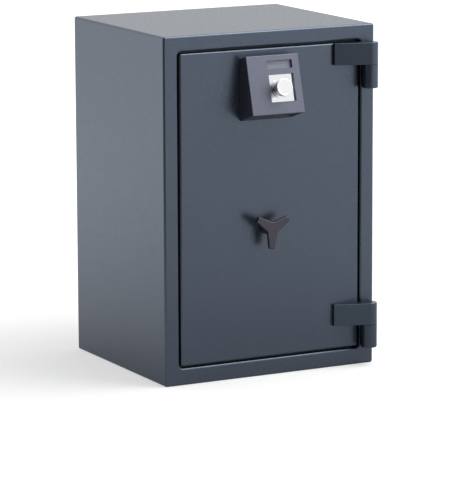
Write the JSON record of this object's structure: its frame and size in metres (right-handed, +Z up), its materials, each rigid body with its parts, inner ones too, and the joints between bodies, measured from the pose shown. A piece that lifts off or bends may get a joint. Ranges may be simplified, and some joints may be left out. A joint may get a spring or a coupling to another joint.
{
  "type": "security safe",
  "caption": "Upright security safe with a hinged door, handle-driven boltwork, tilted electronic lock unit with turning knob, and shelves inside.",
  "frame": {"origin": "on the floor, at the centre of the hole for the base anchor, which is the centre of the body's footprint", "axes": "+Z up, -Y toward the front of the safe, +X toward the hinges, on the right seen from the front"},
  "size_m": [0.5, 0.4942, 0.735],
  "materials": {
    "powder_coat": "graphite textured powder coat, satin",
    "interior_paint": "grey paint, smooth satin",
    "zinc_steel": "zinc plated, dull",
    "bright_steel": "ground and turned, bright",
    "hard_steel": "hardened, dark",
    "barrier": "cast filling, rough",
    "seal": "soft strip, matte",
    "brass": "turned, bright",
    "lock_casting": "cast alloy, dull",
    "handle_black": "black paint, satin",
    "housing_grey": "grey paint, satin",
    "knob_chrome": "satin chrome",
    "plate_chrome": "satin plate",
    "display_glass": "pale display behind a clear front",
    "board_green": "circuit board lacquer",
    "encoder_plastic": "moulded, matte",
    "cable_jacket": "flexible jacket, matte",
    "tray_plastic": "moulded, matte",
    "battery_case": "plain metal jacket"
  },
  "bodies": {
    "cabinet": {"outer_wrapper": "powder_coat", "back_plate": "powder_coat", "front_frame": "powder_coat", "rebate_frame": "interior_paint", "door_seal": "seal", "bolt_channel": "interior_paint", "inner_liner": "interior_paint", "barrier_fill": "barrier", "base_anchor_sleeve": "zinc_steel", "back_anchor_sleeve": "zinc_steel", "shelf_rails": "zinc_steel", "shelf_clips": "zinc_steel", "shelf_lower": "interior_paint", "shelf_upper": "interior_paint", "frame_knuckle_upper": "powder_coat", "frame_knuckle_lower": "powder_coat", "hinge_pins": "bright_steel", "hinge_washers": "zinc_steel"},
    "door": {"door_plate": "powder_coat", "door_pan": "interior_paint", "door_barrier": "barrier", "drill_plate": "hard_steel", "boltwork_plate": "zinc_steel", "boltwork_cover": "interior_paint", "cover_screws": "zinc_steel", "hinge_strap_upper": "powder_coat", "hinge_strap_lower": "powder_coat", "strap_screws": "zinc_steel", "hinge_side_bolts": "bright_steel", "bolt_bushes": "brass", "rod_guides": "zinc_steel", "spindle_bush": "brass", "lock_case": "lock_casting", "lock_case_cover": "lock_casting", "lock_case_screws": "zinc_steel", "lock_cable": "cable_jacket", "lock_base_plate": "zinc_steel", "base_screws": "zinc_steel", "lock_housing": "housing_grey", "knob_plate": "plate_chrome", "display": "display_glass", "control_board": "board_green", "knob_encoder": "encoder_plastic"},
    "handle": {"handle": "handle_black", "handle_grub_screw": "bright_steel", "spindle": "bright_steel", "spindle_clip": "zinc_steel", "cam_disc": "zinc_steel"},
    "side_boltwork": {"side_bolt_bar": "zinc_steel", "side_bolts": "bright_steel"},
    "top_boltwork": {"top_rod": "zinc_steel", "top_bolt": "bright_steel"},
    "bottom_boltwork": {"bottom_rod": "zinc_steel", "bottom_bolt": "bright_steel"},
    "lock_bolt": {"lock_bolt": "brass"},
    "knob_plunger": {"knob_plunger": "brass"},
    "knob": {"selector_knob": "knob_chrome", "knob_shaft": "bright_steel"},
    "battery_drawer": {"battery_tray": "tray_plastic", "battery": "battery_case"}
  },
  "joints": [
    {"name": "door_hinge", "type": "hinge", "parent": "cabinet", "child": "door", "pos_m": [0.23, -0.2302, 0.36], "axis": [0, 0, 1], "range_deg": [0, 180]},
    {"name": "handle_turn", "type": "hinge", "parent": "door", "child": "handle", "pos_m": [-0.0135, -0.2125, 0.3216], "axis": [0, -1, 0], "range_deg": [0, 90]},
    {"name": "side_bolt_slide", "type": "slide", "parent": "door", "child": "side_boltwork", "axis": [-1, 0, 0], "range_m": [0, 0.024]},
    {"name": "top_bolt_slide", "type": "slide", "parent": "door", "child": "top_boltwork", "axis": [0, 0, 1], "range_m": [0, 0.024]},
    {"name": "bottom_bolt_slide", "type": "slide", "parent": "door", "child": "bottom_boltwork", "axis": [0, 0, -1], "range_m": [0, 0.024]},
    {"name": "lock_bolt_slide", "type": "slide", "parent": "door", "child": "lock_bolt", "axis": [-1, 0, 0], "range_m": [0, 0.012]},
    {"name": "knob_press", "type": "slide", "parent": "door", "child": "knob_plunger", "axis": [0, 0.9659, -0.2588], "range_m": [0, 0.0015], "stiffness_N_per_m": 2000, "springref_m": -0.0015},
    {"name": "knob_turn", "type": "hinge", "parent": "knob_plunger", "child": "knob", "pos_m": [-0.0013, -0.25683, 0.61806], "axis": [0, -0.9659, 0.2588], "continuous": true},
    {"name": "battery_tray_slide", "type": "slide", "parent": "door", "child": "battery_drawer", "axis": [0, -0.2588, -0.9659], "range_m": [0, 0.055]}
  ],
  "couplings": [
    {"joint": "side_bolt_slide", "follows": "handle_turn", "m_per_rad": 0.015278},
    {"joint": "top_bolt_slide", "follows": "handle_turn", "m_per_rad": 0.015278},
    {"joint": "bottom_bolt_slide", "follows": "handle_turn", "m_per_rad": 0.015278}
  ]
}
